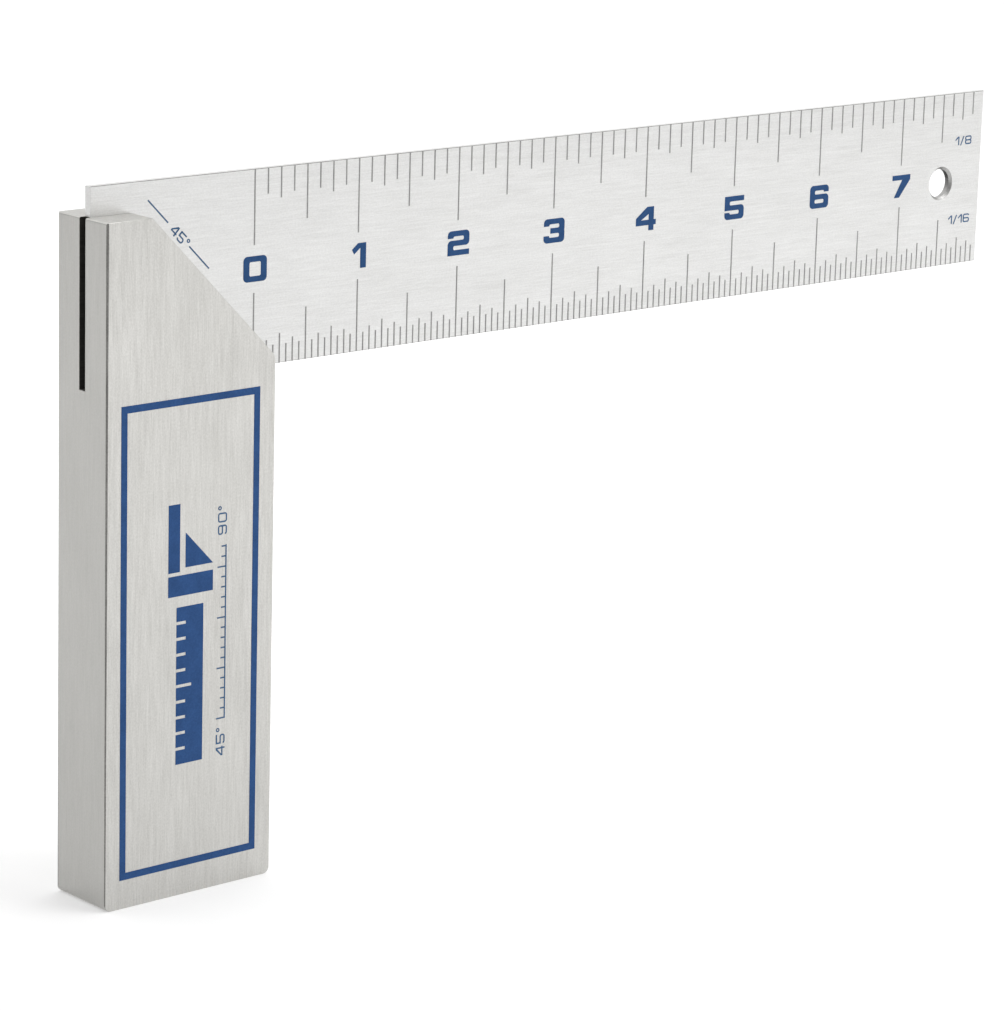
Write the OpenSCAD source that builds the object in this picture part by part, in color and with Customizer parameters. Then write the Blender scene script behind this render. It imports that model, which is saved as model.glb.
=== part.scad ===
// Try square: a steel blade set in a slotted aluminium stock and held by three flush rivets,
// with printed graduations, numerals and a printed border.
//
// The origin is the inside corner: the stock's inner face is the plane X = 0, the blade's lower
// edge is the plane Z = 0, and Y = 0 is the middle of the blade's thickness.
// The blade runs along +X, the stock hangs down along -Z, and the printed front faces -Y.

/* [Blade] */
// Length of the blade beyond the stock's inner face
blade_reach = 203.2; // [203.2:0.1:210]
// Length of the blade that is held in the stock
blade_tail = 38.1; // [36:0.1:38.6]
// Height of the blade
blade_h = 38.1; // [37:0.1:39]
// Thickness of the blade
blade_t = 1.6; // [1.2:0.1:1.7]
// Diameter of the hanging hole
hang_d = 6.35; // [5:0.05:8]
// Distance of the hanging hole from the stock's inner face
hang_x = 190.7; // [188:0.1:194]
// Height of the hanging hole above the blade's lower edge
hang_z = 18.4; // [16:0.1:22]
// Width of the countersink around the hanging hole, on the front only
hang_rim = 0.55; // [0.2:0.05:0.8]

/* [Stock] */
// Width of the stock
stock_w = 39.2; // [38.8:0.1:42]
// Thickness of the stock
stock_t = 15.6; // [12:0.1:18]
// Length of the stock
stock_len = 132.2; // [130:0.1:150]
// Height by which the blade stands above the stock's end
blade_proud = 5.7; // [4:0.1:7]
// Width of the slot that holds the blade
slot_w = 1.8; // [1.7:0.05:2.0]
// Length of the mitred corner, along each side
mitre_run = 29.0; // [28:0.1:29]
// Radius of the rounded corner at the mitre's foot
mitre_foot_r = 2.5; // [1:0.1:3]
// Radius of the stock's lower corners
foot_r = 1.2; // [0.5:0.1:2]
// Chamfer on the stock's long edges
edge_break = 0.35; // [0.2:0.05:0.8]

/* [Rivets] */
// Diameter of a rivet's shank
rivet_d = 3.2; // [2.5:0.1:3.5]
// Diameter of a rivet's flush head
rivet_head_d = 4.4; // [4:0.1:5]
// Depth of a rivet's flush head
rivet_head_h = 0.6; // [0.4:0.1:1]

/* [Markings] */
// Thickness of the print
ink_t = 0.04; // [0.02:0.01:0.06]
// Width of a graduation line
tick_w = 0.28; // [0.2:0.01:0.35]
// Width of a bold numeral
num_w = 5.6; // [5:0.1:6]
// Height of a bold numeral
num_h = 4.95; // [4:0.05:5.5]
// Height of the bold numerals' feet above the blade's lower edge
num_z = 16.45; // [16:0.05:17]
// Line width of the printed border
border_line = 1.4; // [1:0.1:2]

/* [Hidden] */
$fn = 64;
inch = 25.4;
eps = 0.01;
over = 1;

INCHES = [0:7];

STOCK_COLOR = "#d7d5d2";
BLADE_COLOR = "#e2e2e0";
RIVET_COLOR = "#cfcecb";
TICK_COLOR = "#55585c";
NUMERAL_COLOR = "#2c548c";
BORDER_COLOR = "#345e9b";
FINE_COLOR = "#4a6284";

stock_top = blade_h - blade_proud;
stock_bottom = stock_top - stock_len;
mitre_z = stock_top - mitre_run;
// Tangent length of the round at the mitre's foot, where the faces meet at 135 degrees
foot_tangent = mitre_foot_r * tan(22.5);

// Places of the rivets on the stock's face, [x, z]
RIVETS = [[-32, 26.5], [-19, 17], [-13.5, 5.5]];

// Stroke of the bold numerals: width of an upright, width of a level bar, outer corner radius
BOLD = [1.43, 1.1, 0.9];
// Stroke of the fine figures
FINE = [0.3, 0.28, 0.5];
// Width of a figure 1, as a share of the other figures' width
ONE_SHARE = 0.63;

// ---------------------------------------------------------------- flat shapes

// Rectangle with round corners, its lower left corner at the origin
module rounded_box(w, h, r) {
    translate([r, 0]) square([w - 2 * r, h]);
    translate([0, r]) square([w, h - 2 * r]);
    for (x = [r, w - r], y = [r, h - r]) translate([x, y]) circle(r);
}

// Closed bowl of a figure: upright strokes v wide, level strokes t wide
module bowl(w, h, v, t, r) {
    inner_r = min(r * 0.4, (h - 2 * t) / 2 - eps);
    difference() {
        rounded_box(w, h, r);
        translate([v, t]) rounded_box(w - 2 * v, h - 2 * t, inner_r);
    }
}

// Bowl with a gap in one upright, from y0 to y1; side is -1 for left and 1 for right
module open_bowl(w, h, v, t, r, side, y0, y1) {
    reach = v + min(r * 0.4, (h - 2 * t) / 2);
    difference() {
        bowl(w, h, v, t, r);
        translate([side < 0 ? -over : w - reach, y0]) square([reach + over, y1 - y0]);
    }
}

// One figure, 0 to 9, drawn in a box w wide and h high with the stroke s = [v, t, r]
module figure(n, w, h, s) {
    v = s[0];
    t = s[1];
    r = s[2];
    bowl_h = (h + t) / 2;
    low = h - bowl_h;
    hook = 0.08 * h;
    bar_y = 0.23 * h;
    if (n == 0) bowl(w, h, v, t, r);
    if (n == 1) {
        stem_x = ONE_SHARE * w - v;
        flag_y = h - 0.8 * (stem_x - 0.4 * v);
        translate([stem_x, 0]) square([v, h]);
        polygon([[stem_x + eps, h], [stem_x - 0.4 * v, h], [0, flag_y],
                 [0.5 * t, flag_y - 0.85 * t], [stem_x + eps, h - 0.85 * t]]);
    }
    if (n == 2) {
        translate([0, low]) open_bowl(w, bowl_h, v, t, r, -1, -over, bowl_h - t - hook);
        open_bowl(w, bowl_h, v, t, r, 1, t, bowl_h + over);
        square([w, t]);
    }
    if (n == 3) {
        translate([0, low]) open_bowl(w, bowl_h, v, t, r, -1, -over, bowl_h - t - hook);
        open_bowl(w, bowl_h, v, t, r, -1, t + hook, bowl_h + over);
    }
    if (n == 4) {
        stem_x = w - v - 0.11 * w;
        difference() {
            polygon([[0, bar_y], [0, bar_y + 1.4 * t], [stem_x - 0.08 * w, h], [stem_x + v, h],
                     [stem_x + v, bar_y + t], [w, bar_y + t], [w, bar_y], [stem_x + v, bar_y],
                     [stem_x + v, 0], [stem_x, 0], [stem_x, bar_y]]);
            polygon([[v, bar_y + t], [stem_x, bar_y + t], [stem_x, h - 1.35 * t]]);
        }
    }
    if (n == 5) {
        translate([0, low]) open_bowl(w, bowl_h, v, t, r, 1, -over, bowl_h - t);
        translate([0, h - t]) square([w, t]);
        translate([0, low]) square([v, bowl_h]);
        open_bowl(w, bowl_h, v, t, r, -1, t + hook, bowl_h + over);
        translate([v, low]) square([w - v - r, t]);
    }
    if (n == 6) {
        translate([0, low]) open_bowl(w, bowl_h, v, t, r, 1, -over, bowl_h - t - hook);
        bowl(w, bowl_h, v, t, r);
        translate([0, r]) square([v, h - 2 * r]);
    }
    if (n == 7) polygon([[0, h], [w, h], [w, h - t], [0.41 * w, 0], [0.41 * w - 1.1 * v, 0],
                         [w - 1.75 * v, h - t], [0, h - t]]);
    if (n == 8) {
        translate([0, low]) bowl(w, bowl_h, v, t, r);
        bowl(w, bowl_h, v, t, r);
    }
    if (n == 9) {
        translate([0, low]) bowl(w, bowl_h, v, t, r);
        open_bowl(w, bowl_h, v, t, r, -1, t + hook, bowl_h + over);
        translate([w - v, r]) square([v, h - 2 * r]);
    }
}

// Slanted stroke of a fraction
module slash(w, h, v) {
    polygon([[0, -0.06 * h], [v, -0.06 * h], [0.62 * w, h], [0.62 * w - v, h]]);
}

// Degree sign
module degree(h, v) {
    ring_r = 0.2 * h;
    translate([ring_r, h - ring_r]) difference() {
        circle(ring_r);
        circle(ring_r - 0.8 * v);
    }
}

// Width of one sign: a figure, "/" or "deg"
function sign_w(sign, w) = sign == 1 ? ONE_SHARE * w : sign == "/" ? 0.62 * w : sign == "deg" ? 0.4 * w : w;
// Distance from the start of a row of signs to sign number i
function advance(signs, i, w, gap) = i == 0 ? 0 : advance(signs, i - 1, w, gap) + sign_w(signs[i - 1], w) + gap;

// Row of fine signs, such as [1, "/", 8] or [4, 5, "deg"]
module fine_row(signs, w, h, gap) {
    for (i = [0:len(signs) - 1]) translate([advance(signs, i, w, gap), 0]) {
        if (signs[i] == "/") slash(w, h, FINE[0]);
        else if (signs[i] == "deg") degree(h, FINE[0]);
        else figure(signs[i], w, h, FINE);
    }
}

// Upright line with its foot at the origin
module tick(h) {
    translate([-tick_w / 2, 0]) square([tick_w, h]);
}

// Lays a flat drawing on the plane y, thick t, towards -Y
module upright(y, t) {
    translate([0, y, 0]) rotate([90, 0, 0]) linear_extrude(t) children();
}
module print_on_blade() upright(-blade_t / 2, ink_t) children();
module print_on_stock() upright(-stock_t / 2, ink_t) children();

// ---------------------------------------------------------------- stock

// Front outline of the stock, with its mitre and round corners
module stock_outline() {
    difference() {
        union() {
            translate([-stock_w, stock_bottom]) rounded_box(stock_w, stock_len, foot_r);
            translate([-stock_w, 0]) square([stock_w, stock_top]);
        }
        polygon([[-mitre_run - over, stock_top + over], [over, mitre_z - over], [over, stock_top + over]]);
        translate([0, mitre_z - foot_tangent]) mitre_foot_cut();
    }
}

// What the round takes off the corner where the mitre meets the inner face
module mitre_foot_cut() {
    slope_x = -foot_tangent * cos(45);
    slope_y = foot_tangent + foot_tangent * sin(45);
    difference() {
        polygon([[-mitre_foot_r, 0], [over, 0], [over, foot_tangent + over], [slope_x + over, slope_y + over]]);
        translate([-mitre_foot_r, 0]) circle(mitre_foot_r);
    }
}

// Plan of the stock, with its long edges chamfered
module stock_plan() {
    e = edge_break;
    w = stock_w;
    h = stock_t / 2;
    polygon([[-w + e, -h], [-e, -h], [0, -h + e], [0, h - e], [-e, h], [-w + e, h], [-w, h - e], [-w, -h + e]]);
}

module stock() {
    color(STOCK_COLOR) difference() {
        intersection() {
            upright(stock_t / 2, stock_t) stock_outline();
            translate([0, 0, stock_bottom]) linear_extrude(stock_len) stock_plan();
        }
        translate([-stock_w - over, -slot_w / 2, 0]) cube([stock_w + 2 * over, slot_w, stock_top + over]);
        for (p = RIVETS) rivet_at(p);
    }
}

// ---------------------------------------------------------------- blade and rivets

module blade() {
    color(BLADE_COLOR) difference() {
        translate([-blade_tail, -blade_t / 2, 0]) cube([blade_tail + blade_reach, blade_t, blade_h]);
        translate([hang_x, 0, hang_z]) rotate([90, 0, 0]) {
            cylinder(h = blade_t + 2 * over, d = hang_d, center = true);
            translate([0, 0, blade_t / 2 - hang_rim])
                cylinder(h = hang_rim + eps, d1 = hang_d, d2 = hang_d + 2 * (hang_rim + eps));
        }
        for (p = RIVETS) rivet_at(p);
    }
}

// A rivet at p = [x, z], flush with both faces of the stock
module rivet_at(p) {
    translate([p[0], 0, p[1]]) rotate([90, 0, 0]) {
        cylinder(h = stock_t, d = rivet_d, center = true);
        for (side = [-1, 1]) scale([1, 1, side]) translate([0, 0, stock_t / 2 - rivet_head_h])
            cylinder(h = rivet_head_h, d1 = rivet_d, d2 = rivet_head_d);
    }
}

module blade_rivet(i) {
    color(RIVET_COLOR) rivet_at(RIVETS[i - 1]);
}

// ---------------------------------------------------------------- graduations

// Length of a line on the upper scale, k eighths from the start
function eighth_len(k) = k % 8 == 0 ? 14.6 : k % 4 == 0 ? 10.6 : k % 2 == 0 ? 6.0 : 5.0;
// Length of a line on the lower scale, k sixteenths from the start
function sixteenth_len(k) =
    k % 16 == 0 ? 14.3 : k % 8 == 0 ? 10.3 : k % 4 == 0 ? 5.8 : k % 2 == 0 ? 4.8 : 3.7;

module eighth_inch_marks() {
    color(TICK_COLOR) print_on_blade() for (k = [0:63])
        translate([k * inch / 8, blade_h - eighth_len(k)]) tick(eighth_len(k));
}

module sixteenth_inch_marks() {
    color(TICK_COLOR) print_on_blade() for (k = [0:127])
        translate([k * inch / 16, 0]) tick(sixteenth_len(k));
}

// Numeral of inch n, centred just past its line
module numeral(n) {
    w = n == 1 ? ONE_SHARE * num_w : num_w;
    shift = 0.24;
    color(NUMERAL_COLOR) print_on_blade()
        translate([n * inch + shift - w / 2, num_z]) figure(n, num_w, num_h, BOLD);
}

module eighths_label() {
    color(FINE_COLOR) print_on_blade() translate([194.8, 26.5]) fine_row([1, "/", 8], 2.0, 1.9, 0.35);
}

module sixteenths_label() {
    color(FINE_COLOR) print_on_blade() translate([193.8, 9.0]) fine_row([1, "/", 1, 6], 2.0, 1.9, 0.35);
}

// Angle of the mitre, printed along it on the blade with a line on each side
module angle_label() {
    line_l = 6.6;
    color(FINE_COLOR) print_on_blade() translate([-25.0, 34.4]) rotate(-45) {
        translate([0, -0.15]) square([line_l, FINE[1]]);
        translate([8.0, -1.0]) fine_row([4, 5, "deg"], 1.7, 2.0, 0.45);
        translate([13.6, -0.15]) square([line_l, FINE[1]]);
    }
}

// ---------------------------------------------------------------- print on the stock

module border_frame() {
    left = -35.9;
    right = -3.6;
    top = -2.1;
    bottom = -94.1;
    color(BORDER_COLOR) print_on_stock() difference() {
        translate([left, bottom]) square([right - left, top - bottom]);
        translate([left + border_line, bottom + border_line])
            square([right - left - 2 * border_line, top - bottom - 2 * border_line]);
    }
}

// Ruler strip and a small square with its mitre triangle, reading up the stock
module square_emblem() {
    strip_l = 31;
    strip_h = 6.3;
    notch_pitch = 3.1;
    color(BORDER_COLOR) print_on_stock() translate([-16.6, -73.5]) rotate(90) {
        difference() {
            square([strip_l, strip_h]);
            for (i = [1:9]) {
                depth = i % 5 == 0 ? 3.6 : 2.2;
                translate([i * notch_pitch - 0.3, strip_h - depth]) square([0.6, depth + over]);
            }
        }
        translate([33.2, -2.2]) square([4.0, 10.5]);
        translate([37.9, 5.6]) square([13.2, 2.7]);
        polygon([[38.6, 4.3], [45.4, 4.3], [38.6, -2.2]]);
    }
}

// Fine line of generic angles with a small scale between them
module angle_line() {
    fig_w = 1.9;
    fig_h = 2.1;
    color(FINE_COLOR) print_on_stock() translate([-11.2, -73.6]) rotate(90) {
        fine_row([4, 5, "deg"], fig_w, fig_h, 0.5);
        translate([7.4, 0]) {
            square([34.4, FINE[1]]);
            for (i = [0:17]) translate([i * 2, 0]) square([FINE[1], i % 5 == 0 ? fig_h : 1.2]);
        }
        translate([43.8, 0]) fine_row([9, 0, "deg"], fig_w, fig_h, 0.5);
    }
}

stock();
blade();
blade_rivet(1);  // blade_rivet_1
blade_rivet(2);  // blade_rivet_2
blade_rivet(3);  // blade_rivet_3
eighth_inch_marks();
sixteenth_inch_marks();
for (n = INCHES) numeral(n);
eighths_label();
sixteenths_label();
angle_label();
border_frame();
square_emblem();
angle_line();
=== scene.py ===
# %% [markdown]
# # A try square
#
# A try square is a steel blade held at right angles in a thick aluminium stock. This lesson builds
# the looks of one in Blender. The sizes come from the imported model, which is loaded first and stays
# fixed: the stock, the blade and the rivets are modelled again here with the fine edges of real
# metal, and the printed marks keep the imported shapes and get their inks. All lengths are in metres,
# X runs along the blade, Z is up, and the printed front faces -Y.

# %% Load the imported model
import math

import bmesh
import bpy
from mathutils import Matrix, Vector


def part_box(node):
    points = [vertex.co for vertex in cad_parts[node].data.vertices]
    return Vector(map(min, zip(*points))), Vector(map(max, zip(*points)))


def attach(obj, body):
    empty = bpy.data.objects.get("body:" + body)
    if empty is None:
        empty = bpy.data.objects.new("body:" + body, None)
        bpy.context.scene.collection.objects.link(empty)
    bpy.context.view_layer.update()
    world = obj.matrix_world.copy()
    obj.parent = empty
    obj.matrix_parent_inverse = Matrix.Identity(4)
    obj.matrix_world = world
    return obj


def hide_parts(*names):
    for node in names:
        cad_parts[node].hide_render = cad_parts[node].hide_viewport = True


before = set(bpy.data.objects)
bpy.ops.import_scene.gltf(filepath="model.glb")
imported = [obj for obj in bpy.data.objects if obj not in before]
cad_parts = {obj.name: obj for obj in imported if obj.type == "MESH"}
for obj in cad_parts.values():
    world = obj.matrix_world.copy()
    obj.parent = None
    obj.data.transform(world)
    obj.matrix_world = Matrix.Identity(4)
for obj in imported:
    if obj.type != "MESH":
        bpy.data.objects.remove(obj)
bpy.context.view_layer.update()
MM = 0.001

# %% [markdown]
# ## The driving sizes
#
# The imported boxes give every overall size. What a box can't say is listed here once: the slot, the
# mitre, the radius of each edge, the hanging hole and the rivets. They are the sizes of the packed
# design, so the new pieces fall in the same places. The clearance is the gap between a rivet and
# its hole. It is far too small to see, but it keeps two surfaces from lying in exactly the same
# place.

# %% Sizes
stock_low, stock_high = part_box("stock")
blade_low, blade_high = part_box("blade")

slot_width = 1.8 * MM
mitre_run = 29.0 * MM
mitre_foot_radius = 2.5 * MM
foot_radius = 1.3 * MM
long_edge_chamfer = 0.34 * MM
top_edge_radius = 0.4 * MM
stock_edge_radius = 0.22 * MM
blade_edge_radius = 0.12 * MM

hole_radius = 3.175 * MM
hole_rim = 0.55 * MM
hole_place = Vector((190.7 * MM, 0, 18.4 * MM))

rivet_names = ["blade_rivet_1", "blade_rivet_2", "blade_rivet_3"]
rivet_shank_radius = 1.6 * MM
rivet_head_radius = 2.2 * MM
rivet_head_depth = 0.6 * MM
rivet_clearance = 0.004 * MM
print("stock", [round(v / MM, 2) for v in stock_high - stock_low], "mm")
print("blade", [round(v / MM, 2) for v in blade_high - blade_low], "mm")

# %% [markdown]
# ## The camera
#
# A long lens from the left and a little above keeps the edges nearly parallel, as in a catalogue
# picture. The camera is described by where it stands and by three angles, which is easier to read
# and to change than a matrix: yaw turns it about the vertical, pitch tips it down and roll tilts it
# in its own frame.

# %% Camera
camera_place = Vector((-464.2 * MM, -597.3 * MM, 161.4 * MM))
camera_yaw = math.radians(-41.55)
camera_pitch = math.radians(-13.94)
camera_roll = math.radians(1.6)
lens_length = 144.05
film_width = 36.0

camera_data = bpy.data.cameras.new("camera")
camera_data.lens = lens_length
camera_data.sensor_width = film_width
camera_data.clip_start = 0.01
camera_data.clip_end = 50
camera = bpy.data.objects.new("camera", camera_data)
bpy.context.scene.collection.objects.link(camera)
turn = Matrix.Rotation(camera_yaw, 4, "Z") @ Matrix.Rotation(math.pi / 2 + camera_pitch, 4, "X")
camera.matrix_world = Matrix.Translation(camera_place) @ turn @ Matrix.Rotation(camera_roll, 4, "Z")
bpy.context.scene.camera = camera
print("camera looks along", [round(v, 4) for v in -camera.matrix_world.col[2].xyz])

# %% [markdown]
# ## The floor
#
# The floor is one large pale plane under the stock's foot. It could be plain white paint, but then
# the foot stands in its own shadow and turns dark, because polished metal mirrors the floor beside
# it. A studio for small goods has a table of white acrylic that is lit from below instead, so this
# floor glows a little of its own accord. That keeps the shadow faint and the foot bright.

# %% Floor
floor_size = 12
acrylic = (0.62, 0.62, 0.62, 1)
white = (1, 1, 1, 1)
glow_from_below = 0.36

bpy.ops.object.select_all(action="DESELECT")
bpy.ops.mesh.primitive_plane_add(size=floor_size, location=(0, 0, stock_low.z))
floor = bpy.context.object
floor.name = "floor"
floor_paint = bpy.data.materials.new("floor_paint")
floor_paint.use_nodes = True
floor_shader = floor_paint.node_tree.nodes["Principled BSDF"]
floor_shader.inputs["Base Color"].default_value = acrylic
floor_shader.inputs["Emission Color"].default_value = white
floor_shader.inputs["Emission Strength"].default_value = glow_from_below
floor_shader.inputs["Roughness"].default_value = 0.8
floor_shader.inputs["Specular IOR Level"].default_value = 0.1
floor.data.materials.append(floor_paint)
print("floor at", round(floor.location.z / MM, 2), "mm")

# %% [markdown]
# ## The sky and the panels
#
# Metal shows what stands around it, so the light is a picture that the metal reflects. A single
# plain grey would make every face alike. Here the sky is a sum of soft glows, one overhead and
# three lower down on the right and behind, where the faces, the narrow sides and the top edges look
# when they are seen from the front left. Panels of light add what the sky can't: one key light from
# the front right, and three that light parts of the floor, each of which one side of the square
# mirrors.

# %% Sky
def sky(glows):
    """A sky that is a sum of soft glows, each given as (direction, strength, reach).

    A glow fades out where the cosine of the angle from its direction falls to its reach.
    """
    world = bpy.data.worlds.new("studio")
    world.use_nodes = True
    tree = world.node_tree
    background = tree.nodes["Background"]
    background.inputs["Color"].default_value = white
    direction = tree.nodes.new("ShaderNodeTexCoord").outputs["Generated"]
    total = None
    for towards, strength, reach in glows:
        facing = tree.nodes.new("ShaderNodeVectorMath")
        facing.operation = "DOT_PRODUCT"
        facing.inputs[1].default_value = Vector(towards).normalized()
        tree.links.new(direction, facing.inputs[0])
        share = tree.nodes.new("ShaderNodeMapRange")
        share.interpolation_type = "SMOOTHSTEP"
        share.inputs["From Min"].default_value = reach
        share.inputs["From Max"].default_value = 1.0
        share.inputs["To Max"].default_value = strength
        tree.links.new(facing.outputs["Value"], share.inputs["Value"])
        if total is None:
            total = share.outputs["Result"]
        else:
            adding = tree.nodes.new("ShaderNodeMath")
            tree.links.new(total, adding.inputs[0])
            tree.links.new(share.outputs["Result"], adding.inputs[1])
            total = adding.outputs["Value"]
    tree.links.new(total, background.inputs["Strength"])
    bpy.context.scene.world = world
    print("sky with", len(glows), "glows")


overhead = Vector((0, 0, 1))
right_side = Vector((1, 0.1, 0.1))
far_side = Vector((0.64, 0.73, 0.2))
high_behind = Vector((-0.5, 0.73, 0.45))
sky([(overhead, 0.98, 0.0), (right_side, 0.9, 0.2),
     (far_side, 0.25, 0.4), (high_behind, 0.85, 0.75)])
bpy.context.scene.view_settings.view_transform = "Standard"


# %% Panels of light
def panel_light(name, place, target, width, height, watts, spread):
    """A soft panel at place that faces target; spread is the angle of its grid, in degrees."""
    data = bpy.data.lights.new(name, "AREA")
    data.shape = "RECTANGLE"
    data.size = width
    data.size_y = height
    data.energy = watts
    data.spread = math.radians(spread)
    light = bpy.data.objects.new(name, data)
    light.location = place
    light.rotation_euler = (Vector(target) - Vector(place)).to_track_quat("-Z", "Y").to_euler()
    bpy.context.scene.collection.objects.link(light)
    print(f"{name}: {watts} W")
    return light


panel_light("key_panel", (0.75, -0.9, 0.9), (0.25, -0.3, -0.1),
            width=0.8, height=0.8, watts=2.2, spread=100)
panel_light("front_floor_panel", (0.6, -0.5, 1.0), (0.6, -0.5, 0),
            width=0.8, height=0.8, watts=1.45, spread=70)
panel_light("left_floor_panel", (-0.45, 0.45, 0.9), (-0.45, 0.45, 0),
            width=0.5, height=0.5, watts=0.4, spread=40)
back_floor_panel = panel_light("back_floor_panel", (0.56, 0.6, 0.9), (0.56, 0.6, 0),
                               width=0.5, height=1.4, watts=0.9, spread=30)
back_floor_panel.rotation_euler.z = camera_yaw

# %% [markdown]
# ## Tools for modelling
#
# Blender's operators act on whatever is selected, so each piece begins by deselecting everything.
# The small helpers below start a piece from a box of a given size, choose edges by where they lie,
# cut one piece with another and apply a modifier, so that the steps further down read like bench
# work.

# %% Starting a piece, and choosing its edges
def start_box(name, low, high):
    """A new box from low to high, with its object at the origin and its place in its mesh."""
    bpy.ops.object.select_all(action="DESELECT")
    centre, size = (low + high) / 2, high - low
    bpy.ops.mesh.primitive_cube_add(size=1, location=centre, scale=size)
    bpy.ops.object.transform_apply(location=True, rotation=True, scale=True)
    piece = bpy.context.object
    piece.name = name
    piece.data.name = name
    return piece


def select_edges(piece, chosen):
    """Leaves piece in edit mode with the edges selected whose two ends pass chosen(a, b)."""
    bpy.ops.object.mode_set(mode="EDIT")
    bpy.ops.mesh.select_mode(type="EDGE")
    bpy.ops.mesh.select_all(action="DESELECT")
    mesh = bmesh.from_edit_mesh(piece.data)
    count = 0
    for edge in mesh.edges:
        if chosen(edge.verts[0].co, edge.verts[1].co):
            edge.select_set(True)
            count += 1
    bmesh.update_edit_mesh(piece.data)
    return count


def bevel_edges(piece, chosen, width, segments):
    """Rounds, or with one segment chamfers, the edges that pass chosen."""
    count = select_edges(piece, chosen)
    bpy.ops.mesh.bevel(offset=width, segments=segments, profile=0.5, affect="EDGES")
    bpy.ops.object.mode_set(mode="OBJECT")
    print(f"{piece.name}: {count} edges bevelled by {width / MM:.2f} mm")


# %% Dividing, cutting and finishing a piece
def make_active(piece):
    """Selects piece alone, so that the next operator acts on nothing else."""
    bpy.ops.object.select_all(action="DESELECT")
    piece.select_set(True)
    bpy.context.view_layer.objects.active = piece


def divide(piece, place, normal, remove=False):
    """Draws a line round piece where a plane crosses it.

    With remove, the side that the normal points to is taken off.
    """
    make_active(piece)
    bpy.ops.object.mode_set(mode="EDIT")
    bpy.ops.mesh.select_all(action="SELECT")
    bpy.ops.mesh.bisect(plane_co=place, plane_no=normal, use_fill=remove, clear_outer=remove)
    bpy.ops.object.mode_set(mode="OBJECT")


def cut(piece, cutter):
    """Takes the cutter's shape out of piece and deletes the cutter."""
    make_active(piece)
    modifier = piece.modifiers.new("cut", "BOOLEAN")
    modifier.operation = "DIFFERENCE"
    modifier.solver = "EXACT"
    modifier.object = cutter
    bpy.ops.object.modifier_apply(modifier=modifier.name)
    bpy.data.objects.remove(cutter)


square_corner = math.radians(50)
gentle_bend = math.radians(32)


def soften(piece, radius, segments=3):
    """Gives every square edge the small radius that deburring leaves."""
    make_active(piece)
    modifier = piece.modifiers.new("soften", "BEVEL")
    modifier.width = radius
    modifier.segments = segments
    modifier.limit_method = "ANGLE"
    modifier.angle_limit = square_corner
    bpy.ops.object.modifier_apply(modifier=modifier.name)


def shade(piece):
    """Shades gentle bends smooth and keeps flat faces flat."""
    make_active(piece)
    bpy.ops.object.shade_smooth_by_angle(angle=gentle_bend)
    weighted = piece.modifiers.new("even shading", "WEIGHTED_NORMAL")
    weighted.keep_sharp = True
    bpy.ops.object.modifier_apply(modifier=weighted.name)


# %% [markdown]
# ## Round pieces, turned as on a lathe
#
# The rivets, the drills and the countersink are all round about an axis along Y. One helper makes
# them all: a disc is added at the first station, then extruded from station to station and grown or
# shrunk to each radius. A station is a distance along the axis, towards the front, and a radius.

# %% Turning helper
def turned(name, centre, stations, vertices=96):
    """A round piece along Y through centre, with the radius given at each station."""
    bpy.ops.object.select_all(action="DESELECT")
    first_distance, radius = stations[0]
    bpy.ops.mesh.primitive_circle_add(
        vertices=vertices, radius=radius, fill_type="NGON", location=(0, 0, first_distance))
    piece = bpy.context.object
    piece.name = name
    piece.data.name = name
    bpy.ops.object.transform_apply(location=True, rotation=True, scale=True)
    bpy.ops.object.mode_set(mode="EDIT")
    bpy.ops.mesh.select_all(action="SELECT")
    place = first_distance
    for distance, next_radius in stations[1:]:
        step = (0, 0, distance - place)
        bpy.ops.mesh.extrude_region_move(TRANSFORM_OT_translate={"value": step})
        grow = next_radius / radius
        bpy.ops.transform.resize(value=(grow, grow, 1), center_override=(0, 0, distance))
        place, radius = distance, next_radius
    bpy.ops.mesh.select_all(action="SELECT")
    bpy.ops.mesh.normals_make_consistent(inside=False)
    bpy.ops.object.mode_set(mode="OBJECT")
    piece.rotation_euler = (math.pi / 2, 0, 0)
    piece.location = centre
    bpy.ops.object.transform_apply(location=True, rotation=True, scale=True)
    return piece


# %% [markdown]
# ## The rivets
#
# Three rivets hold the blade. Each is a shank with a flared head at both ends, dressed off flush
# with the stock, so only a faint circle is left to see. The shape is turned once and copied to its
# three places. The drill is the same shape, a hair fatter and longer, so rivet and hole always
# agree.

# %% Rivets
rivet_centres = [sum(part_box(name), Vector()) / 2 for name in rivet_names]
half_length = (stock_high.y - stock_low.y) / 2
half_shank = half_length - rivet_head_depth
rivet_stations = [(-half_length, rivet_head_radius), (-half_shank, rivet_shank_radius),
                  (half_shank, rivet_shank_radius), (half_length, rivet_head_radius)]
overshoot = 1 * MM


def rivet_drill(centre):
    """The tool that cuts one rivet's hole through stock and blade."""
    ends = [(-half_length - overshoot, rivet_head_radius)]
    ends += rivet_stations
    ends += [(half_length + overshoot, rivet_head_radius)]
    fatter = [(distance, radius + rivet_clearance) for distance, radius in ends]
    return turned("drill", centre, fatter)


rivets = [turned("flush_rivet_1", rivet_centres[0], rivet_stations)]
for number in (2, 3):
    copy = rivets[0].copy()
    copy.data = rivets[0].data.copy()
    copy.name = copy.data.name = f"flush_rivet_{number}"
    copy.data.transform(Matrix.Translation(rivet_centres[number - 1] - rivet_centres[0]))
    bpy.context.scene.collection.objects.link(copy)
    rivets.append(copy)
print("rivets at", [[round(v / MM, 2) for v in c] for c in rivet_centres])

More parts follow.
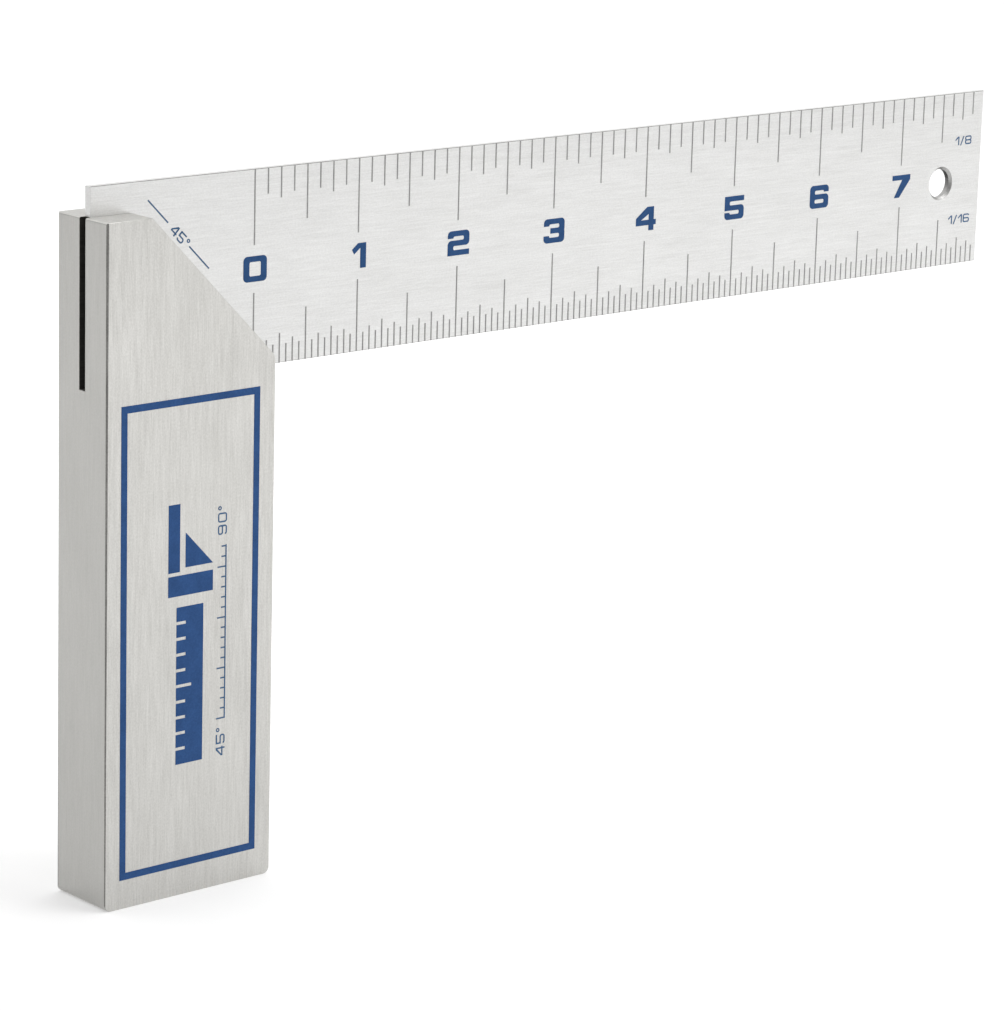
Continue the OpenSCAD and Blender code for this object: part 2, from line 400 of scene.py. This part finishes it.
# %% [markdown]
# ## The stock
#
# The stock is a length of aluminium bar. It starts as a box. A bisect takes off the mitred corner,
# and one edge is rounded where the mitre meets the inner face. The two edges across the foot and
# the one across the top are rounded, and the two long outer edges get a crisp chamfer. The slot is
# cut with a box, as a slitting saw would cut it. Then every edge that is still square gets the
# small radius that catches the light. The rivet holes are drilled last, so that they keep the sharp
# rim of a hole filled by a rivet.

# %% Stock body
stock = start_box("stock_bar", stock_low, stock_high)
mitre_foot_z = stock_high.z - mitre_run
divide(stock, (stock_high.x, 0, mitre_foot_z), (1, 0, 1), remove=True)
print("stock: mitred,", len(stock.data.polygons), "faces")

# %% Stock edges
near = 0.05 * MM
half_the_bar = (stock_high.z - stock_low.z) / 2
mitre_angle = math.radians(45)


def at_mitre_foot(a, b):
    return all(abs(v.x - stock_high.x) < near and abs(v.z - mitre_foot_z) < near for v in (a, b))


def across_the_foot(a, b):
    return all(abs(v.z - stock_low.z) < near for v in (a, b)) and abs(a.x - b.x) < near


def across_the_top(a, b):
    level = abs(a.x - b.x) < near and abs(a.z - b.z) < near and abs(a.y - b.y) > slot_width
    return level and all(v.z > stock_high.z - near and v.x < stock_low.x + near for v in (a, b))


def long_outer_edge(a, b):
    upright = abs(a.z - b.z) > half_the_bar
    return upright and all(abs(v.x - stock_low.x) < near for v in (a, b))


bevel_edges(stock, at_mitre_foot, mitre_foot_radius * math.tan(mitre_angle / 2), 8)
bevel_edges(stock, across_the_foot, foot_radius, 6)
bevel_edges(stock, long_outer_edge, long_edge_chamfer, 1)
bevel_edges(stock, across_the_top, top_edge_radius, 3)

# %% Slot and rivet holes
slot_low = Vector((stock_low.x - overshoot, -slot_width / 2, blade_low.z))
slot_high = Vector((stock_high.x + overshoot, slot_width / 2, stock_high.z + overshoot))
cut(stock, start_box("saw", slot_low, slot_high))
soften(stock, stock_edge_radius)
for centre in rivet_centres:
    cut(stock, rivet_drill(centre))
shade(stock)
print("stock:", len(stock.data.polygons), "faces")

# %% [markdown]
# ## The blade
#
# The blade is a strip of steel with ground edges that only lose their burr, so their radius is much
# smaller than the stock's. It is softened first and drilled afterwards, because a bevel round a
# hole cut by a Boolean leaves dark wedges in the shading. A few lines are drawn round the hole for
# the same reason: they keep the long thin faces that a Boolean makes close to it. The hole's tool
# is turned with a step, so it leaves a countersink on the front.

# %% Blade
blade = start_box("blade_strip", blade_low, blade_high)
hole_margin = 7 * MM
for offset in (-hole_margin, hole_margin):
    divide(blade, hole_place + Vector((offset, 0, 0)), (1, 0, 0))
    divide(blade, hole_place + Vector((0, 0, offset)), (0, 0, 1))
divide(blade, (0, 0, stock_high.z), (0, 0, 1))
front = -blade_low.y
hole_stations = [(-front - overshoot, hole_radius), (front - hole_rim, hole_radius),
                 (front, hole_radius + hole_rim), (front + overshoot, hole_radius + hole_rim)]
soften(blade, blade_edge_radius, segments=2)
cut(blade, turned("hole_drill", hole_place, hole_stations, vertices=128))
for centre in rivet_centres:
    cut(blade, rivet_drill(centre))
shade(blade)
print("blade:", len(blade.data.polygons), "faces")

# %% [markdown]
# ## Brushed metal
#
# Brushing leaves long, fine, nearly parallel scratches. An image of brushed metal would be quicker,
# but it repeats and has only one size of scratch. A noise texture does it when its coordinates are
# squeezed across the grain and stretched along it. Fine hairs, broader bands and a slow cloud are
# laid over each other, with two sets of swipes at a slight angle, as a hand leaves them, and some
# short grit. Together they change the colour a little, the roughness more, and lift the surface by
# a few micrometres. The coordinates are the object's own, in metres, so the grain stays on the
# metal.

# %% Node helpers
def node(tree, kind, label, **settings):
    """A new node with a label, and with its settings given by name."""
    made = tree.nodes.new(kind)
    made.label = label
    for setting, value in settings.items():
        setattr(made, setting, value)
    return made


def streaks(tree, coordinates, label, grain, across, along, detail=3.0, tilt=0.0):
    """Noise drawn out along the grain, with so many features per metre across and along it.

    The tilt turns the grain about Y, in radians.
    """
    scale = [across, across, across]
    scale["XYZ".index(grain)] = along
    tilted = node(tree, "ShaderNodeVectorRotate", label + " direction", rotation_type="Y_AXIS")
    tilted.inputs["Angle"].default_value = tilt
    stretch = node(tree, "ShaderNodeMapping", label + " stretch")
    stretch.inputs["Scale"].default_value = scale
    noise = node(tree, "ShaderNodeTexNoise", label)
    noise.inputs["Scale"].default_value = 1.0
    noise.inputs["Detail"].default_value = detail
    noise.inputs["Roughness"].default_value = 0.6
    tree.links.new(coordinates, tilted.inputs["Vector"])
    tree.links.new(tilted.outputs["Vector"], stretch.inputs["Vector"])
    tree.links.new(stretch.outputs["Vector"], noise.inputs["Vector"])
    return noise.outputs["Fac"]


def map_value(tree, label, value, low, high, to_low, to_high):
    """Maps a value from low..high to to_low..to_high."""
    mapped = node(tree, "ShaderNodeMapRange", label)
    mapped.inputs["From Min"].default_value = low
    mapped.inputs["From Max"].default_value = high
    mapped.inputs["To Min"].default_value = to_low
    mapped.inputs["To Max"].default_value = to_high
    tree.links.new(value, mapped.inputs["Value"])
    return mapped.outputs["Result"]


def mix_colours(tree, label, a, b, share):
    """A colour between a and b, where the value share says how far."""
    mixed = node(tree, "ShaderNodeMix", label, data_type="RGBA")
    mixed.inputs["A"].default_value = (*a, 1)
    mixed.inputs["B"].default_value = (*b, 1)
    tree.links.new(share, mixed.inputs["Factor"])
    return mixed.outputs["Result"]


def blend_values(tree, label, a, b, share):
    """A value between a and b, with a fixed share of b."""
    mixed = node(tree, "ShaderNodeMix", label, data_type="FLOAT")
    mixed.inputs["Factor"].default_value = share
    tree.links.new(a, mixed.inputs["A"])
    tree.links.new(b, mixed.inputs["B"])
    return mixed.outputs["Result"]


# %% Brushed metal
noise_low, noise_high = 0.38, 0.62


def brushed_metal(name, grain, light, dark, smooth, rough,
                  length=1.0, lift=0.004, painted_reflection_heights=None):
    """A brushed metal with scratches along the axis grain.

    light and dark are its two tones, smooth and rough its two roughnesses. A greater length makes
    longer scratches, lift is their relief in millimetres, and the last argument, a pair of heights,
    paints a reflection on the metal: the tone is painted dark above the first and light below the
    second.
    between which the metal turns from dark to light.
    """
    material = bpy.data.materials.new(name)
    material.use_nodes = True
    tree = material.node_tree
    shader = tree.nodes["Principled BSDF"]
    shader.inputs["Metallic"].default_value = 1.0
    shader.inputs["Anisotropic"].default_value = 0.55
    places = tree.nodes.new("ShaderNodeTexCoord").outputs["Object"]
    hairs = streaks(tree, places, "hairs", grain, 4300.0, 190.0 / length)
    bands = streaks(tree, places, "bands", grain, 1700.0, 60.0 / length, detail=2.0)
    cloud = streaks(tree, places, "cloud", grain, 130.0, 45.0, detail=2.0)
    grit = streaks(tree, places, "grit", grain, 3600.0, 2400.0, detail=1.0)
    brushed = blend_values(tree, "hairs and bands", hairs, bands, 0.25)
    toned = blend_values(tree, "with cloud", brushed, cloud, 0.2)
    left_swipe = streaks(
        tree, places, "swipes to the left", grain, 2600.0, 80.0 / length, tilt=0.14)
    right_swipe = streaks(
        tree, places, "swipes to the right", grain, 2300.0, 90.0 / length, tilt=-0.1)
    swipes = blend_values(tree, "swipes", left_swipe, right_swipe, 0.5)
    scratched = blend_values(tree, "scratched", toned, swipes, 0.2)
    surface = blend_values(tree, "surface", scratched, grit, 0.3)
    tone = map_value(tree, "tone", surface, noise_low, noise_high, 0.0, 1.0)
    # Painted reflection: between the two heights the tone turns from painted dark to painted light.
    if painted_reflection_heights:
        height = node(tree, "ShaderNodeSeparateXYZ", "height")
        tree.links.new(places, height.inputs[0])
        brighter = map_value(tree, "bright below", height.outputs["Z"], *painted_reflection_heights, 0.0, 1.0)
        tone = blend_values(tree, "tone with height", tone, brighter, 0.9)
    tree.links.new(mix_colours(tree, "colour", dark, light, tone), shader.inputs["Base Color"])
    gloss = map_value(tree, "gloss", surface, noise_low, noise_high, rough, smooth)
    tree.links.new(gloss, shader.inputs["Roughness"])
    relief = node(tree, "ShaderNodeBump", "relief")
    relief.inputs["Strength"].default_value = 0.35
    relief.inputs["Distance"].default_value = lift * MM
    tree.links.new(surface, relief.inputs["Height"])
    tree.links.new(relief.outputs["Normal"], shader.inputs["Normal"])
    across_grain = node(tree, "ShaderNodeVectorMath", "across the grain", operation="CROSS_PRODUCT")
    nearly_along = [0.02, 0.02, 0.02]
    nearly_along["XYZ".index(grain)] = 1.0
    across_grain.inputs[1].default_value = nearly_along
    outwards = tree.nodes.new("ShaderNodeNewGeometry").outputs["Normal"]
    tree.links.new(outwards, across_grain.inputs[0])
    tree.links.new(across_grain.outputs["Vector"], shader.inputs["Tangent"])
    print("material", name)
    return material


# %% [markdown]
# ## The finishes of the metal
#
# A machined part has more than one finish. The broad faces of the stock are brushed lengthwise, its
# narrow sides are planed and calmer and are painted darker as painted shade, and its ends are milled
# across. The long outer chamfers are painted dark as a painted reflection, and the blade's edge
# bevels are painted darker than its faces. The wall of the hanging hole is a guess at how a small
# bright bore looks in a studio: it mirrors something dark above and the lit floor below. The light
# here doesn't do that by itself, so the wall carries a painted reflection, dark in its upper part and
# bright in its lower part.

# %% Metals
short_scratches = 0.2
# Heights of the painted reflection on the hole's wall: dark above the first, light below the second.
painted_dark_above = hole_place.z + hole_radius * 0.5
painted_bright_below = hole_place.z - hole_radius * 0.8

stock_metal = brushed_metal(
    "brushed_aluminium", "Z", (0.645, 0.638, 0.614), (0.515, 0.508, 0.485), 0.32, 0.44)
# The narrow sides are planed, with less relief, and painted darker than the broad faces as painted
# shade.
sides_painted_shade = brushed_metal(
    "planed_sides_painted_shade", "Z", (0.5, 0.495, 0.476), (0.448, 0.443, 0.424), 0.34, 0.4, lift=0.0025)
stock_ends = brushed_metal(
    "milled_ends", "Y", (0.645, 0.638, 0.614), (0.53, 0.523, 0.5), 0.33, 0.44)
# The long outer chamfers are painted dark: a painted reflection of dark surroundings.
chamfer_painted_reflection = brushed_metal(
    "chamfer_painted_reflection", "Z", (0.27, 0.265, 0.255), (0.16, 0.156, 0.148), 0.35, 0.5)
# The blade's edge bevels are painted darker than its faces.
ground_edge = brushed_metal(
    "ground_edge", "X", (0.3, 0.298, 0.29), (0.18, 0.178, 0.172), 0.35, 0.5)
# The hole's wall, painted dark above and light below as a painted reflection.
bore_painted_reflection = brushed_metal(
    "bore_painted_reflection", "Y", (0.44, 0.438, 0.43), (0.003, 0.003, 0.003), 0.35, 0.5,
    length=short_scratches, painted_reflection_heights=(painted_dark_above, painted_bright_below))
countersink = brushed_metal(
    "countersink", "Y", (0.47, 0.468, 0.46), (0.33, 0.328, 0.32), 0.35, 0.45,
    length=short_scratches)
blade_metal = brushed_metal(
    "brushed_steel", "X", (0.735, 0.735, 0.728), (0.625, 0.623, 0.613), 0.3, 0.4)

# %% [markdown]
# ## Printing ink
#
# The marks are thin coats of ink on the metal. Ink isn't perfectly even: it is a little thinner
# over the scratches and its gloss changes slowly. A fine noise mixes two close tones of the same
# colour and a second one varies the roughness.

# %% Inks
glossiest, dullest = 0.42, 0.62


def printing_ink(name, full, thin):
    """A coat of ink that varies between a full and a thin tone."""
    material = bpy.data.materials.new(name)
    material.use_nodes = True
    tree = material.node_tree
    shader = tree.nodes["Principled BSDF"]
    shader.inputs["Specular IOR Level"].default_value = 0.15
    places = tree.nodes.new("ShaderNodeTexCoord").outputs["Object"]
    specks = streaks(tree, places, "specks", "X", 3000.0, 3000.0)
    patches = streaks(tree, places, "patches", "X", 300.0, 300.0)
    coat = blend_values(tree, "coat", specks, patches, 0.5)
    cover = map_value(tree, "cover", coat, 0.35, 0.65, 0.0, 1.0)
    tree.links.new(mix_colours(tree, "colour", full, thin, cover), shader.inputs["Base Color"])
    sheen = map_value(tree, "gloss", patches, 0.0, 1.0, glossiest, dullest)
    tree.links.new(sheen, shader.inputs["Roughness"])
    print("material", name)
    return material


numeral_ink = printing_ink("numeral_ink", (0.015, 0.057, 0.16), (0.024, 0.079, 0.212))
border_ink = printing_ink("border_ink", (0.017, 0.062, 0.185), (0.027, 0.086, 0.245))
fine_ink = printing_ink("fine_ink", (0.04, 0.1, 0.2), (0.08, 0.15, 0.27))
graduation_ink = printing_ink("graduation_ink", (0.23, 0.23, 0.23), (0.36, 0.36, 0.35))

# %% [markdown]
# ## The saw slot
#
# The walls of the slot stay as the saw left them, and little light gets in, so from outside the slot
# reads as a black line. The walls, and the blade's tail inside the slot, are painted near black as
# painted shade: a plain dark metal with a rough, uneven surface, varied a little by the saw marks.

# %% Slot walls
# Painted shade: the slot's walls are painted near black because little light gets in.
slot_painted_shade = bpy.data.materials.new("slot_painted_shade")
slot_painted_shade.use_nodes = True
slot_tree = slot_painted_shade.node_tree
slot_shader = slot_tree.nodes["Principled BSDF"]
slot_shader.inputs["Metallic"].default_value = 0.6
slot_shader.inputs["Specular IOR Level"].default_value = 0.2
slot_places = slot_tree.nodes.new("ShaderNodeTexCoord").outputs["Object"]
saw_marks = streaks(slot_tree, slot_places, "saw marks", "X", 2600.0, 90.0)
# Painted shade tones for the slot: near black, with a little grey along the saw marks.
slot_black, slot_grey = (0.02, 0.02, 0.018), (0.09, 0.087, 0.08)
slot_tone = mix_colours(slot_tree, "tone", slot_black, slot_grey, saw_marks)
slot_tree.links.new(slot_tone, slot_shader.inputs["Base Color"])
slot_roughness = map_value(slot_tree, "roughness", saw_marks, 0.0, 1.0, 0.55, 0.8)
slot_tree.links.new(slot_roughness, slot_shader.inputs["Roughness"])
print("material", slot_painted_shade.name)

# %% [markdown]
# ## Hand-over
#
# The new metal pieces take the place of the imported ones, and each first gets the finish of its
# broad faces. All of them ride on the one body of the model, because nothing on a try square moves.

# %% Hand-over
def finish_piece(piece, material, packed):
    """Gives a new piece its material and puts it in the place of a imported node."""
    piece.data.materials.clear()
    piece.data.materials.append(material)
    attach(piece, "root")
    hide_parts(packed)
    print(f"{piece.name} replaces {packed}: {len(piece.data.polygons)} faces")


finish_piece(stock, stock_metal, "stock")
finish_piece(blade, blade_metal, "blade")
for rivet, packed in zip(rivets, rivet_names):
    finish_piece(rivet, stock_metal, packed)

# %% [markdown]
# ## Painting single faces
#
# A mesh can hold several materials, and each of its faces wears one of them. The faces could be
# clicked by hand, but a test on a face's centre and normal still holds when a size changes. Each
# part of a normal says how squarely the face looks along that axis: 1 is straight along it and 0 is
# across it. The sides, the ends, the edges, the slot and the hole are painted in turn, and where
# two tests agree on a face, the later coat stays.

# %% Painting helper
def paint_faces(piece, material, chosen):
    """Gives the faces that pass chosen(centre, normal) another material."""
    piece.data.materials.append(material)
    index = len(piece.data.materials) - 1
    faces = [face for face in piece.data.polygons if chosen(face.center, face.normal)]
    for face in faces:
        face.material_index = index
    print(f"{piece.name}: {len(faces)} faces in {material.name}")


# %% Where the stock's finishes go
squarely = 0.9
nearly_a_mitre = 0.6
nearly_a_chamfer = 0.5


def across_the_bar(centre, normal):
    return normal.z < -squarely or normal.z > nearly_a_mitre


def on_a_narrow_side(centre, normal):
    return abs(normal.x) > squarely


def on_a_long_edge(centre, normal):
    return normal.x < -nearly_a_chamfer and abs(normal.y) > nearly_a_chamfer


def on_a_slot_wall(centre, normal):
    between_the_walls = abs(centre.y) < slot_width / 2 + near and centre.z > blade_low.z
    return between_the_walls and abs(normal.y) > squarely


# The narrow sides get their painted shade.
paint_faces(stock, sides_painted_shade, on_a_narrow_side)
paint_faces(stock, stock_ends, across_the_bar)
# The long chamfers get the painted dark reflection.
paint_faces(stock, chamfer_painted_reflection, on_a_long_edge)
# The slot's walls get the painted shade.
paint_faces(stock, slot_painted_shade, on_a_slot_wall)

# %% Where the blade's finishes go
hardly = 0.3
least_of_an_edge, most_of_an_edge = 0.2, 0.98


def on_the_shaded_tail(centre, normal):
    return centre.x < blade_low.x + near and centre.z < stock_high.z


def on_a_ground_edge(centre, normal):
    from_an_edge = min(blade_high.z - centre.z, centre.z - blade_low.z)
    past_the_tail = centre.x > blade_low.x + mitre_run / 2
    slanted = least_of_an_edge < abs(normal.y) < most_of_an_edge
    return past_the_tail and from_an_edge < 2 * blade_edge_radius and slanted


def within_the_rim(centre):
    away = Vector((centre.x - hole_place.x, centre.z - hole_place.z)).length
    return away < hole_radius + hole_rim


def in_the_hanging_hole(centre, normal):
    return within_the_rim(centre) and abs(normal.y) < hardly


def on_the_countersink(centre, normal):
    return within_the_rim(centre) and hardly < abs(normal.y) < squarely


paint_faces(blade, ground_edge, on_a_ground_edge)
# The blade's tail inside the slot gets the same painted shade.
paint_faces(blade, slot_painted_shade, on_the_shaded_tail)
# The wall of the hanging hole wears its painted reflection.
paint_faces(blade, bore_painted_reflection, in_the_hanging_hole)
paint_faces(blade, countersink, on_the_countersink)

# %% [markdown]
# ## Inking the marks
#
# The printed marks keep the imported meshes, whose shapes are already right, and only get their inks.
# The start of a mark's name says which ink it is printed in.

# %% Marks
inks = {"numeral_": numeral_ink, "border_frame": border_ink, "square_emblem": border_ink,
        "eighth_inch": graduation_ink, "sixteenth_inch": graduation_ink,
        "eighths_label": fine_ink, "sixteenths_label": fine_ink, "angle_": fine_ink}
for name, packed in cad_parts.items():
    for start, ink in inks.items():
        if name.startswith(start):
            packed.data.materials.clear()
            packed.data.materials.append(ink)
            print(name, "is printed in", ink.name)
